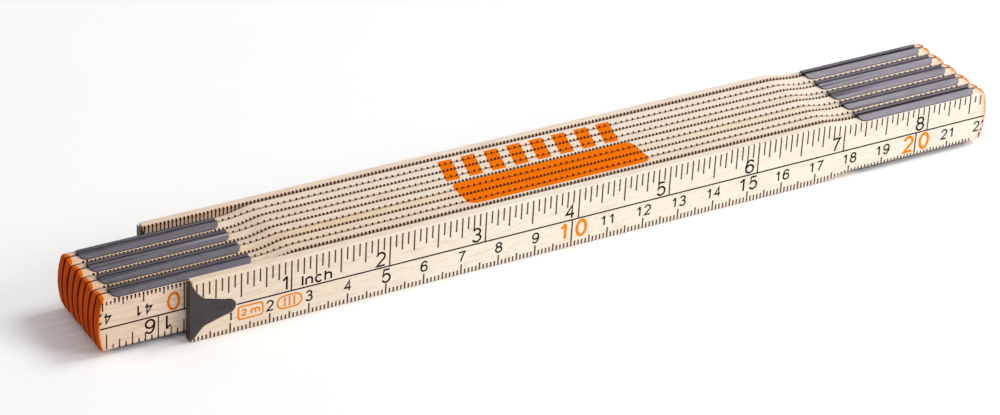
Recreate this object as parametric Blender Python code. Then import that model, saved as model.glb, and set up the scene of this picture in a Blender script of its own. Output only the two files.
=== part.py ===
"""Folding rule, two metres long, shown folded: ten wooden leaves on edge, nine concealed-rivet joints.

Frame: +X runs along the folded rule, +Y from the front leaf to the rear leaf, +Z up.
The origin is the centre of the bounding box at its bottom, where the leaves' lower edges rest.
Every joint turns about an axis along Y at half the leaf height.  Right-hand joints lie at
+PIVOT_SPACING / 2 and left-hand joints at -PIVOT_SPACING / 2, so ten pivots' worth of leaf is 2 m.
"""

import math

import bmesh
import bpy
from mathutils import Vector

MM = 0.001

# Driving dimensions of the leaves
LEAF_COUNT = 10
PIVOT_SPACING = 200 * MM
LEAF_HEIGHT = 16 * MM
LEAF_THICKNESS = 2.3 * MM
LEAF_GAP = 0.6 * MM
OUTER_GAP = 0.95 * MM         # the first and last leaf stand a little clear of the others
OVERHANG = 21.3 * MM          # leaf beyond a pivot
EDGE_ROUND = 0.3 * MM
END_SETBACK = 1.0 * MM        # how far the ends of a bowed end fall back from its middle
END_CORNER = 0.6 * MM

# The edges are cut down round each joint, more on the outer face than on the jointed one
RECESS_OUTER = 1.4 * MM
RECESS_INNER = 0.85 * MM
RAMP_NEAR = 19.5 * MM         # distances from the pivot between which the edge runs down
RAMP_FAR = 28.5 * MM
RAMP_STEPS = 6

# Joint plates: folded sheet steel, one on each leaf, let into the wood
PLATE_THICKNESS = 0.35 * MM
PLATE_LENGTH = 34.8 * MM
PLATE_PROUD = 0.12 * MM       # how far a plate's web stands out of its leaf's face
PLATE_BEND = 0.29 * MM        # bend radius at the middle of the sheet
LIP_DROP_OUTER = 1.35 * MM    # the lip's surface below the leaf's edge, at its outer face
LIP_RISE_INNER = 0.05 * MM    # and above it, carried on to its jointed face
LIP_SHORT = 0.35 * MM         # the folded lip stops this far from the leaf's outer face
LIP_CORNER = 1.8 * MM
PLATE_CLEARANCE = 0.1 * MM

# Rivet and detent spring
RIVET_RADIUS = 1.5 * MM
RIVET_HEAD_RADIUS = 3.4 * MM
RIVET_HEAD_THICKNESS = 0.5 * MM
RIVET_CLEARANCE = 0.1 * MM
SEAT_RADIUS = 4.0 * MM        # blind bore in the wood round each rivet head
SEAT_DEPTH = 1.1 * MM
SPRING_RADIUS = 5.2 * MM
SPRING_LOBE = 0.9 * MM
SPRING_CREST = 0.05 * MM
SPRING_CLEARANCE = 0.06 * MM

# End caps on the first and last leaf
CAP_SHEET = 0.4 * MM
CAP_CLEARANCE = 0.1 * MM
CAP_SUNK = 0.05 * MM          # the cap's tongues lie this far below the wooden face
CAP_SHOULDER_X = 3.6 * MM     # the tongue narrows quickly to here
CAP_SHOULDER_HALF = 3.45 * MM
CAP_SHOULDER_CURVE = 1.3
CAP_NECK_X = 8.6 * MM         # then slowly to here, where its rounded tip begins
CAP_NECK_HALF = 2.0 * MM
CAP_TIP_X = 11.3 * MM
CAP_DROP = 0.6 * MM           # the tongue runs this far below the leaf's middle line
CAP_DROP_X = 1.5 * MM         # and has come down to it here
CAP_PIN_X = 7 * MM
CAP_PIN_RADIUS = 0.7 * MM

MID_HEIGHT = LEAF_HEIGHT / 2
CUTTER_REACH = 1 * MM         # how far a cutter stands out of the face it cuts
ROUND_STEPS = 16

FRONT = -1
BACK = 1


def clear_scene():
    for scene_object in list(bpy.data.objects):
        bpy.data.objects.remove(scene_object)


def make_material(name, colour, roughness, metallic):
    material = bpy.data.materials.new(name)
    material.use_nodes = True
    shader = material.node_tree.nodes["Principled BSDF"]
    shader.inputs["Base Color"].default_value = (*colour, 1)
    shader.inputs["Roughness"].default_value = roughness
    shader.inputs["Metallic"].default_value = metallic
    material.diffuse_color = (*colour, 1)
    return material


def leaf_front(leaf):
    """Y of a leaf's front face; leaves are numbered from 1 at the front."""
    depth = LEAF_COUNT * LEAF_THICKNESS + (LEAF_COUNT - 3) * LEAF_GAP + 2 * OUTER_GAP
    y = -depth / 2
    for before in range(1, leaf):
        y += LEAF_THICKNESS + gap_behind(before)
    return y


def gap_behind(leaf):
    return OUTER_GAP if leaf in (1, LEAF_COUNT - 1) else LEAF_GAP


def joint_x(joint):
    """X of the pivot between leaf number `joint` and the next one."""
    return PIVOT_SPACING / 2 if joint % 2 else -PIVOT_SPACING / 2


def add_object(name, mesh_source, material, parent):
    """Turns a bmesh in world coordinates into an object placed from its parent's origin."""
    origin = parent_origin(parent)
    bmesh.ops.translate(mesh_source, vec=-origin, verts=mesh_source.verts)
    bmesh.ops.recalc_face_normals(mesh_source, faces=mesh_source.faces)
    mesh = bpy.data.meshes.new(name)
    mesh_source.to_mesh(mesh)
    mesh_source.free()
    made = bpy.data.objects.new(name, mesh)
    bpy.context.scene.collection.objects.link(made)
    made.parent = parent
    if material:
        mesh.materials.append(material)
    return made


def parent_origin(parent):
    origin = Vector()
    while parent:
        origin += parent.location
        parent = parent.parent
    return origin


def shade_round(made, angle=math.radians(35)):
    made.data.shade_smooth()
    made.data.set_sharp_from_angle(angle=angle)


def carve(target, cutter):
    """Cuts one object out of another for good and removes the cutter."""
    modifier = target.modifiers.new("cut", "BOOLEAN")
    modifier.operation = "DIFFERENCE"
    modifier.object = cutter
    graph = bpy.context.evaluated_depsgraph_get()
    mesh = bpy.data.meshes.new_from_object(target.evaluated_get(graph))
    target.modifiers.clear()
    uncut = target.data
    target.data = mesh
    bpy.data.meshes.remove(uncut)
    bpy.data.objects.remove(cutter)


def join_rings(work, rings):
    """Makes the band of faces between closed rings of equal point counts; returns their vertices."""
    loops = [[work.verts.new(point) for point in ring] for ring in rings]
    for first, second in zip(loops, loops[1:]):
        for index in range(len(first)):
            after = (index + 1) % len(first)
            work.faces.new((first[index], first[after], second[after], second[index]))
    return loops


def bridge_rings(work, rings):
    """Joins convex rings and fills the first and the last."""
    loops = join_rings(work, rings)
    work.faces.new(list(reversed(loops[0])))
    work.faces.new(loops[-1])


def slab(levels):
    """A body between outlines of (x, height above half the leaf height) points.

    `levels` holds (y, outline) pairs; every outline is made by mirrored() and has equal counts.
    """
    work = bmesh.new()
    rings = [[(x, y, MID_HEIGHT + z) for x, z in outline] for y, outline in levels]
    loops = join_rings(work, rings)
    for loop in (loops[0], loops[-1]):
        fill_mirrored(work, loop)
    return work


def mirrored(upper):
    """Closed clockwise outline from its upper half, given left to right as (x, height) points."""
    lower = [(x, -height) for x, height in reversed(upper) if height > 0]
    return upper + lower


def fill_mirrored(work, loop):
    """Fills a mirrored outline with upright strips from its upper to its lower points."""
    first = 0
    last = len(loop) - 1
    tip_at_left = abs(loop[0].co.z - MID_HEIGHT) < 0.01 * MM
    if tip_at_left:
        last = len(loop)
    while last - first > 1:
        corners = [loop[first], loop[first + 1], loop[last - 1], loop[last % len(loop)]]
        work.faces.new(list(dict.fromkeys(corners)))
        first += 1
        last -= 1


def disc(radius, y_low, y_high, steps=ROUND_STEPS):
    """A solid cylinder along Y."""
    work = bmesh.new()
    rings = []
    for y in (y_low, y_high):
        rings.append([(radius * math.cos(math.tau * step / steps), y,
                       radius * math.sin(math.tau * step / steps)) for step in range(steps)])
    bridge_rings(work, rings)
    return work


def box(low, high):
    work = bmesh.new()
    bmesh.ops.create_cube(work, size=1)
    for vertex in work.verts:
        for axis in range(3):
            vertex.co[axis] = high[axis] if vertex.co[axis] > 0 else low[axis]
    return work


# Leaves

def smooth(value):
    value = min(max(value, 0), 1)
    return value * value * (3 - 2 * value)


def edge_drop(x, depth, sides):
    """How far a leaf's long edge is cut down at x, at a depth from its front face.

    `sides` gives the face on which the left-hand and the right-hand joint lies, or None.
    """
    side = sides[1] if x > 0 else sides[0]
    if side is None:
        return 0
    from_pivot = PIVOT_SPACING / 2 - abs(x)
    amount = smooth((RAMP_FAR - from_pivot) / (RAMP_FAR - RAMP_NEAR))
    inward = depth / LEAF_THICKNESS if side == BACK else 1 - depth / LEAF_THICKNESS
    return amount * (RECESS_OUTER + (RECESS_INNER - RECESS_OUTER) * inward)


def edge_stations(sides):
    """X positions along the upper edge, from the left end to the right end."""
    half = PIVOT_SPACING / 2
    length = RAMP_FAR - RAMP_NEAR
    run = [half - RAMP_FAR + length * step / RAMP_STEPS for step in range(RAMP_STEPS + 1)]
    stations = []
    if sides[0] is not None:
        stations += [-x for x in reversed(run)]
    if sides[1] is not None:
        stations += run
    return stations


def bowed_end(height):
    """A bowed end as (setback from its tip, height) points, from the tip to the upper corner."""
    points = []
    for degrees in (0, 20, 40, 62, 78, 90):
        part = math.sin(math.radians(degrees))
        corner = 1 - (1 - part ** 6) ** (1 / 6)
        points.append((END_SETBACK * part * part + END_CORNER * corner, height * part))
    return points


def leaf_outline(depth, sides):
    """Outline of a leaf at a depth from its front face."""
    half = PIVOT_SPACING / 2
    tip = half + OVERHANG
    if sides[0] is None:
        upper = [(-half + CAP_SHEET + CAP_CLEARANCE, MID_HEIGHT)]
    else:
        end_height = MID_HEIGHT - edge_drop(-half, depth, sides)
        upper = [(-tip + setback, height) for setback, height in bowed_end(end_height)]
    upper += [(x, MID_HEIGHT - edge_drop(x, depth, sides)) for x in edge_stations(sides)]
    end_height = MID_HEIGHT - edge_drop(half, depth, sides)
    upper += [(tip - setback, height) for setback, height in reversed(bowed_end(end_height))]
    return mirrored(upper)


def inset(outline, distance):
    """Moves every point of a clockwise outline inwards by the same distance."""
    moved = []
    count = len(outline)
    for index, point in enumerate(outline):
        here = Vector(point)
        before = (here - Vector(outline[index - 1])).normalized()
        after = (Vector(outline[(index + 1) % count]) - here).normalized()
        across = Vector((before.y, -before.x))
        normal = (across + Vector((after.y, -after.x))).normalized()
        share = max(normal.dot(across), 0.5)
        moved.append(tuple(here + normal * distance / share))
    return moved


def make_leaf(leaf, wood, parent):
    sides = leaf_sides(leaf)
    front = leaf_front(leaf)
    diagonal = 1 - math.sqrt(0.5)
    rounding = [(0, EDGE_ROUND), (EDGE_ROUND * diagonal, EDGE_ROUND * diagonal), (EDGE_ROUND, 0)]
    rounding += [(LEAF_THICKNESS - depth, cut) for depth, cut in reversed(rounding)]
    levels = [(front + depth, inset(leaf_outline(depth, sides), cut)) for depth, cut in rounding]
    made = add_object(f"leaf_{leaf:02d}", slab(levels), wood, parent)
    for side, x in zip(sides, (-PIVOT_SPACING / 2, PIVOT_SPACING / 2)):
        if side is None:
            carve_cap_seat(made, front, parent)
        else:
            carve_joint_seat(made, x, front if side == FRONT else front + LEAF_THICKNESS, side, parent)
    return made


def leaf_sides(leaf):
    """The face that carries the left-hand and the right-hand joint of a leaf."""
    right = BACK if leaf % 2 else FRONT
    left = None if leaf in (1, LEAF_COUNT) else -right
    return left, right


def carve_joint_seat(leaf, x, face_y, side, parent):
    """A shallow seat for the plate and a blind bore for the rivet head."""
    to_wood = PLATE_THICKNESS / 2 + PLATE_CLEARANCE
    seat = plate_solid(x, face_y, side, to_wood, CUTTER_REACH, PLATE_CLEARANCE)
    carve(leaf, add_object("seat", seat, None, parent))
    bore_range = sorted((face_y + side * CUTTER_REACH, face_y - side * SEAT_DEPTH))
    bore = disc(SEAT_RADIUS, *bore_range)
    bmesh.ops.translate(bore, vec=(x, 0, MID_HEIGHT), verts=bore.verts)
    carve(leaf, add_object("bore", bore, None, parent))


# Joint hardware

def plate_profile(lip_end):
    """Middle line of a plate's upper half as (depth, height, lip) points.

    Depth runs from the leaf's jointed face into the leaf; height is from the middle of the leaf.
    lip is the distance along the folded lip measured from its free edge, or None off the lip.
    """
    slope = (LIP_DROP_OUTER + LIP_RISE_INNER) / LEAF_THICKNESS
    tilt = math.atan(slope)

    def lip_height(depth):
        surface = MID_HEIGHT + LIP_RISE_INNER - slope * depth
        return surface - PLATE_THICKNESS / 2 / math.cos(tilt)

    web_depth = PLATE_THICKNESS / 2 - PLATE_PROUD
    turn = math.pi / 2 + tilt
    centre_depth = web_depth + PLATE_BEND
    centre_height = lip_height(web_depth) - PLATE_BEND * math.tan(turn / 2)
    points = [(web_depth, 0, None)]
    bend_steps = 4
    for step in range(bend_steps + 1):
        angle = math.pi - turn * step / bend_steps
        depth = centre_depth + PLATE_BEND * math.cos(angle)
        points.append((depth, centre_height + PLATE_BEND * math.sin(angle), None))
    start = points[-1][0]
    for share in (0.3, 0.55, 0.75, 0.9, 1):
        depth = start + (lip_end - start) * share
        points.append((depth, lip_height(depth), (lip_end - depth) / math.cos(tilt)))
    return points


def plate_rows(grow):
    """Rows down the plate: middle line point, its outward normal and the half length there."""
    upper = plate_profile(LEAF_THICKNESS - LIP_SHORT + grow)
    line = list(reversed(upper))
    line += [(depth, -height, lip) for depth, height, lip in upper[1:]]
    rows = []
    for index, (depth, height, lip) in enumerate(line):
        before = line[max(index - 1, 0)]
        after = line[min(index + 1, len(line) - 1)]
        along = Vector((after[0] - before[0], after[1] - before[1])).normalized()
        half_length = PLATE_LENGTH / 2 + grow
        if lip is not None and lip < LIP_CORNER:
            missing = LIP_CORNER - lip
            half_length -= LIP_CORNER - math.sqrt(LIP_CORNER ** 2 - missing ** 2)
        rows.append((Vector((depth, height)), Vector((along.y, -along.x)), half_length))
    return rows


def plate_solid(x, face_y, side, to_wood, outwards, grow):
    """A folded plate, or the seat cut for it, between two offsets from the sheet's middle.

    The leaf's jointed face lies at face_y and looks towards `side`.
    """
    work = bmesh.new()
    rings = []
    for middle, normal, half_length in plate_rows(grow):
        ring = []
        for offset, along in ((outwards, -1), (outwards, 1), (-to_wood, 1), (-to_wood, -1)):
            point = middle + normal * offset
            ring.append((x + along * half_length, face_y - side * point.x, MID_HEIGHT + point.y))
        rings.append(ring)
    bridge_rings(work, rings)
    return work


def make_plate(name, x, face_y, side, steel, parent):
    half_sheet = PLATE_THICKNESS / 2
    made = add_object(name, plate_solid(x, face_y, side, half_sheet, half_sheet, 0), steel, parent)
    hole = disc(RIVET_RADIUS + RIVET_CLEARANCE, face_y - CUTTER_REACH, face_y + CUTTER_REACH)
    bmesh.ops.translate(hole, vec=(x, 0, MID_HEIGHT), verts=hole.verts)
    carve(made, add_object("hole", hole, None, parent))
    shade_round(made)
    return made


def make_rivet(name, x, front_face, rear_face, steel, parent):
    """A shank with a flat head at each end, which holds both plates' webs together."""
    web_back = PLATE_THICKNESS - PLATE_PROUD + RIVET_CLEARANCE
    low = front_face - web_back
    high = rear_face + web_back
    edge = RIVET_HEAD_THICKNESS / 4
    half_profile = [(RIVET_RADIUS, 0), (RIVET_HEAD_RADIUS, 0),
                    (RIVET_HEAD_RADIUS, RIVET_HEAD_THICKNESS - edge),
                    (RIVET_HEAD_RADIUS - edge, RIVET_HEAD_THICKNESS)]
    lower = [(radius, low - out) for radius, out in half_profile]
    upper = [(radius, high + out) for radius, out in half_profile]
    work = bmesh.new()
    rings = []
    for radius, y in list(reversed(lower)) + upper:
        rings.append([(x + radius * math.cos(math.tau * step / ROUND_STEPS), y,
                       MID_HEIGHT + radius * math.sin(math.tau * step / ROUND_STEPS))
                      for step in range(ROUND_STEPS)])
    bridge_rings(work, rings)
    made = add_object(name, work, steel, parent)
    shade_round(made)
    return made


def make_spring(name, x, front_face, rear_face, steel, parent):
    """An oval spring washer between the plates, with a crest on each of its two lobes."""
    low = front_face + PLATE_PROUD + SPRING_CLEARANCE
    high = rear_face - PLATE_PROUD - SPRING_CLEARANCE - SPRING_CREST
    inner = RIVET_RADIUS + RIVET_CLEARANCE
    work = bmesh.new()
    sections = []
    for step in range(ROUND_STEPS):
        angle = math.tau * step / ROUND_STEPS
        outer = SPRING_RADIUS + SPRING_LOBE * math.cos(2 * angle)
        crest = SPRING_CREST * max(math.cos(2 * angle), 0) ** 4
        ring_radius = (inner + 2 * outer) / 3
        profile = [(inner, low), (outer, low), (outer, high), (ring_radius, high + crest), (inner, high)]
        sections.append([work.verts.new((x + radius * math.cos(angle), y,
                                         MID_HEIGHT + radius * math.sin(angle)))
                         for radius, y in profile])
    for step, section in enumerate(sections):
        following = sections[(step + 1) % ROUND_STEPS]
        for index in range(len(section)):
            after = (index + 1) % len(section)
            work.faces.new((section[index], section[after], following[after], following[index]))
    bmesh.ops.triangulate(work, faces=list(work.faces))
    made = add_object(name, work, steel, parent)
    shade_round(made)
    return made


def make_joint(joint, materials, bodies):
    x = joint_x(joint)
    front_face = leaf_front(joint) + LEAF_THICKNESS
    rear_face = leaf_front(joint + 1)
    label = f"joint_{joint}_{joint + 1}"
    front_body = bodies[joint]
    rear_body = bodies[joint + 1]
    make_plate(f"{label}_front_plate", x, front_face, BACK, materials["plate"], front_body)
    make_plate(f"{label}_rear_plate", x, rear_face, FRONT, materials["plate"], rear_body)
    make_rivet(f"{label}_rivet", x, front_face, rear_face, materials["rivet"], front_body)
    make_spring(f"{label}_detent_spring", x, front_face, rear_face, materials["spring"], front_body)


# End caps

def tongue_outline():
    """Bell-shaped tongue of an end cap, from its square end to its rounded tip."""
    half = PIVOT_SPACING / 2
    root_height = MID_HEIGHT - EDGE_ROUND
    upper = []
    shoulder_steps = 6
    for step in range(shoulder_steps + 1):
        share = step / shoulder_steps
        rise = (1 - share) ** CAP_SHOULDER_CURVE
        height = CAP_SHOULDER_HALF + (root_height - CAP_SHOULDER_HALF) * rise
        upper.append((CAP_SHOULDER_X * share - half, height))
    tip_steps = 5
    for step in range(tip_steps + 1):
        angle = math.pi / 2 * (1 - step / tip_steps)
        x = CAP_NECK_X + (CAP_TIP_X - CAP_NECK_X) * math.cos(angle)
        upper.append((x - half, CAP_NECK_HALF * math.sin(angle)))
    outline = []
    for x, height in mirrored(upper):
        outline.append((x, height - CAP_DROP * smooth((x + half) / CAP_DROP_X)))
    return outline


def carve_cap_seat(leaf, front, parent):
    """Shallow seats for the cap's two tongues and a hole for its pin."""
    depth = CAP_SUNK + CAP_SHEET + CAP_CLEARANCE
    back = front + LEAF_THICKNESS
    for y_range in ((front - CUTTER_REACH, front + depth), (back - depth, back + CUTTER_REACH)):
        seat = slab([(y, inset(tongue_outline(), -2 * CAP_CLEARANCE)) for y in y_range])
        carve(leaf, add_object("seat", seat, None, parent))
    hole = disc(CAP_PIN_RADIUS + CAP_CLEARANCE, front - CUTTER_REACH, back + CUTTER_REACH,
                ROUND_STEPS // 2)
    place = (CAP_PIN_X - PIVOT_SPACING / 2, 0, MID_HEIGHT - CAP_DROP)
    bmesh.ops.translate(hole, vec=place, verts=hole.verts)
    carve(leaf, add_object("hole", hole, None, parent))


def make_cap(label, leaf, materials, parent):
    """A steel cap folded from one sheet: an end plate with a tongue down each face."""
    front = leaf_front(leaf) + CAP_SUNK
    back = leaf_front(leaf) + LEAF_THICKNESS - CAP_SUNK
    x_end = -PIVOT_SPACING / 2
    cap = slab([(y, tongue_outline()) for y in (front, back)])
    made = add_object(f"{label}_cap", cap, materials["cap"], parent)
    hollow = box((x_end + CAP_SHEET, front + CAP_SHEET, -CUTTER_REACH),
                 (x_end + 2 * CAP_TIP_X, back - CAP_SHEET, LEAF_HEIGHT + CUTTER_REACH))
    carve(made, add_object("hollow", hollow, None, parent))
    shade_round(made)
    pin = disc(CAP_PIN_RADIUS, front + CAP_SHEET + CAP_CLEARANCE, back - CAP_SHEET - CAP_CLEARANCE,
               ROUND_STEPS // 2)
    place = (x_end + CAP_PIN_X, 0, MID_HEIGHT - CAP_DROP)
    bmesh.ops.translate(pin, vec=place, verts=pin.verts)
    shade_round(add_object(f"{label}_cap_pin", pin, materials["rivet"], parent))


def make_bodies():
    """One empty for each moving leaf, on the axis of the joint that carries it."""
    bodies = {1: None}
    for leaf in range(2, LEAF_COUNT + 1):
        empty = bpy.data.objects.new(f"pivot_{leaf - 1}_{leaf}", None)
        bpy.context.scene.collection.objects.link(empty)
        place = Vector((joint_x(leaf - 1), leaf_front(leaf), MID_HEIGHT))
        empty.parent = bodies[leaf - 1]
        empty.location = place - parent_origin(empty.parent)
        bodies[leaf] = empty
    return bodies


def build():
    clear_scene()
    materials = {
        "wood": make_material("birch", (0.78, 0.66, 0.52), 0.55, 0),
        "plate": make_material("dark_steel", (0.13, 0.13, 0.15), 0.45, 0.85),
        "rivet": make_material("rivet_steel", (0.45, 0.45, 0.47), 0.35, 1),
        "spring": make_material("spring_steel", (0.3, 0.31, 0.34), 0.3, 1),
        "cap": make_material("cap_steel", (0.1, 0.1, 0.11), 0.5, 0.8),
    }
    bodies = make_bodies()
    bpy.context.view_layer.update()
    for leaf in range(1, LEAF_COUNT + 1):
        make_leaf(leaf, materials["wood"], bodies[leaf])
    for joint in range(1, LEAF_COUNT):
        make_joint(joint, materials, bodies)
    make_cap("zero_end", 1, materials, bodies[1])
    make_cap("two_metre_end", LEAF_COUNT, materials, bodies[LEAF_COUNT])


build()
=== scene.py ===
"""Looks of the folding rule: lacquered birch, painted ends, printed scales, bronzed steel joints.

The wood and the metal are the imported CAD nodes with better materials.  The print is geometry: thin
closed strips that lie on the leaves and follow their rounded edges, one object for each printed face.
Lengths are in millimetres times MM.  "Along" is the distance from the rule's zero end and "up" is the
height above the middle line as the print is read, which is upside down on every second leaf.
"""

import math

import bmesh
import bpy
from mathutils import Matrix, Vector
from mathutils.bvhtree import BVHTree


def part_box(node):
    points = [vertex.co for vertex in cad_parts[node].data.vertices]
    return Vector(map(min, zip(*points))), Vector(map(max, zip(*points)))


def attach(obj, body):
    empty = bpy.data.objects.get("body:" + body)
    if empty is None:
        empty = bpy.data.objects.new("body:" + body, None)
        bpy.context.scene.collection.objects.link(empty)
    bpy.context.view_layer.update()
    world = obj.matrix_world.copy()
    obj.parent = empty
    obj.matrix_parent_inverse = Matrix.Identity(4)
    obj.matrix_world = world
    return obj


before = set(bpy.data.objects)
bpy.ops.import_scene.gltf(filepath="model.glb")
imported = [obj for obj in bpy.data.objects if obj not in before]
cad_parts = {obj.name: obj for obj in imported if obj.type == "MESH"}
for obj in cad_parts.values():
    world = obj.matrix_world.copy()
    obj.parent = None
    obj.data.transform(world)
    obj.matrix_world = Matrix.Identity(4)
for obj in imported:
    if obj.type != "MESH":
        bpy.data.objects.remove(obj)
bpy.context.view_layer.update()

MM = 0.001
FRONT = -1
BACK = 1
LEAF_COUNT = 10
INCH = 25.4 * MM
CENTIMETRE = 10 * MM


def leaf_name(leaf):
    return f"leaf_{leaf:02d}"


def leaf_body(leaf):
    return f"leaf_{leaf}_assembly"


def middle(node):
    low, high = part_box(node)
    return (low + high) / 2


RIGHT_PIVOT_X = middle("joint_1_2_rivet").x
LEFT_PIVOT_X = middle("joint_2_3_rivet").x
PIVOT_SPACING = RIGHT_PIVOT_X - LEFT_PIVOT_X
RULE_LENGTH = LEAF_COUNT * PIVOT_SPACING
PLATE_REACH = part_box("joint_1_2_front_plate")[1].x - RIGHT_PIVOT_X
LEAF_LOW, LEAF_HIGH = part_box("leaf_02")
LEAF_TIP = LEAF_HIGH.x
LEAF_HEIGHT = LEAF_HIGH.z - LEAF_LOW.z
MID_HEIGHT = LEAF_HEIGHT / 2
EDGE_ROUND = 0.3 * MM             # radius of a leaf's long edges
EDGE_CREST = EDGE_ROUND * (1 - math.sqrt(0.5))     # how deep the middle of that rounding lies

# A leaf's end is bowed, and drawn in further at its two corners
END_HALF_HEIGHT = MID_HEIGHT - 1.1 * MM
END_SETBACK = 1.0 * MM
END_CORNER = 0.6 * MM
BOW_POWER = 2.0
CORNER_POWER = 16.0


# Node graphs

class Graph:
    """The nodes of one material.  Most methods add nodes and return an output."""

    def __init__(self, name):
        self.material = bpy.data.materials.new(name)
        self.material.use_nodes = True
        self.tree = self.material.node_tree
        self.shader = self.tree.nodes["Principled BSDF"]

    def add(self, kind, inputs, output=0, **settings):
        node = self.tree.nodes.new(kind)
        for key, value in settings.items():
            setattr(node, key, value)
        for key, value in inputs.items():
            self.feed(node.inputs[key], value)
        return node.outputs[output]

    def feed(self, socket, value):
        """Links a socket to another, or sets it to a plain value."""
        if isinstance(value, bpy.types.NodeSocket):
            self.tree.links.new(value, socket)
        else:
            socket.default_value = value

    def shade(self, **values):
        """Sets the shader's inputs, named with underscores for spaces."""
        for key, value in values.items():
            self.feed(self.shader.inputs[key.replace("_", " ")], value)

    def maths(self, operation, first, second=0.0, third=0.0, clamp=False):
        values = {0: first, 1: second, 2: third}
        return self.add("ShaderNodeMath", values, operation=operation, use_clamp=clamp)

    def mix(self, factor, first, second, blend="MIX"):
        values = {0: factor, 6: first, 7: second}
        return self.add("ShaderNodeMix", values, output=2, data_type="RGBA", blend_type=blend)

    def spread(self, value, low, high, to_low=0.0, to_high=1.0):
        """Maps low..high to to_low..to_high, clamped."""
        values = {"Value": value, "From Min": low, "From Max": high, "To Min": to_low, "To Max": to_high}
        return self.add("ShaderNodeMapRange", values)

    def millimetres(self, shift=(0, 0, 0), turn=(0, 0, 0), scale=(1, 1, 1)):
        """Object coordinates in millimetres, shifted, turned and then stretched by scale."""
        place = self.add("ShaderNodeTexCoord", {}, output="Object")
        values = {"Vector": place, "Location": shift, "Scale": (1 / MM,) * 3}
        place = self.add("ShaderNodeMapping", values)
        values = {"Vector": place, "Rotation": turn}
        place = self.add("ShaderNodeMapping", values)
        return self.add("ShaderNodeVectorMath", {0: place, 1: scale}, operation="MULTIPLY")

    def noise(self, place, scale=1.0, detail=2.0, roughness=0.5, distortion=0.0):
        values = {"Vector": place, "Scale": scale, "Detail": detail, "Roughness": roughness,
                  "Distortion": distortion}
        return self.add("ShaderNodeTexNoise", values)

    def parts(self, coordinates):
        """The x, y and z of the object's own coordinates ("Object") or normals ("Normal")."""
        node = self.tree.nodes.new("ShaderNodeSeparateXYZ")
        self.feed(node.inputs[0], self.add("ShaderNodeTexCoord", {}, output=coordinates))
        return tuple(node.outputs)

    def bump(self, height, distance, strength=1.0):
        values = {"Height": height, "Distance": distance, "Strength": strength}
        return self.add("ShaderNodeBump", values)


def rgb(red, green, blue):
    """A colour as the eye reads it, 0 to 255, as the linear colour that shaders take."""
    def linear(value):
        value /= 255
        return value / 12.92 if value <= 0.04045 else ((value + 0.055) / 1.055) ** 2.4
    return (linear(red), linear(green), linear(blue), 1)


# Materials

PALE = rgb(248, 240, 228)
WARM = rgb(240, 221, 190)
PINK = rgb(240, 220, 206)
FIBRE = rgb(200, 160, 120)
# painted shade, multiplied into the flat top and bottom edges of the leaves
FLAT_EDGE_PAINTED_SHADE = rgb(226, 214, 207)
GAP_PAINTED_SHADE = rgb(196, 158, 124)          # painted shade on the faces between the leaves, near their long edges
ZERO_END_PAINTED_SHADE = rgb(241, 228, 216)     # painted shade: darkens and warms the wood towards the zero end, where less light falls
ZERO_END_SHADE_FADE = (-120 * MM, -20 * MM)
PAINT_LIT = rgb(214, 86, 0)
PAINT_DEEP = rgb(180, 58, 0)
PAINT_STREAK = rgb(130, 34, 0)
# painted shade on the paint of the faces between the leaves
PAINTED_SHADE_ON_PAINT = rgb(96, 22, 0)
# lighter where the paint runs thin beside the end grain, with painted highlight
PAINT_THIN_RIM_AND_HIGHLIGHT = rgb(238, 124, 24)
STAIN = rgb(236, 158, 92)
PAINT_RIM_WIDTHS = (0.25 * MM, 0.65 * MM)
PAINT_RUN_FOR_GAP_SHADE = 1.6 * MM    # how much further it runs on faces that lie against another leaf, where it is painted shade
WOOD_SHINE = 0.03
INK_SHINE = 0.01

# How far each leaf leans from pale towards warm and towards pink, and the slope of its grain
LEAF_TONES = {
    1: (0.30, 0.20, 5), 2: (0.35, 1.0, -4), 3: (0.55, 0.25, 6), 4: (1.00, 0.05, -3), 5: (0.45, 0.25, 4),
    6: (0.30, 0.85, -5), 7: (0.20, 0.55, 3), 8: (0.10, 0.35, -6), 9: (0.15, 0.55, 4), 10: (0.45, 0.95, -4),
}


def leaf_shift(leaf):
    """Where a leaf's patterns are taken from, so that no two leaves are alike."""
    return (41.0 * leaf, 17.0 * leaf, 29.0 * leaf)


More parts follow.
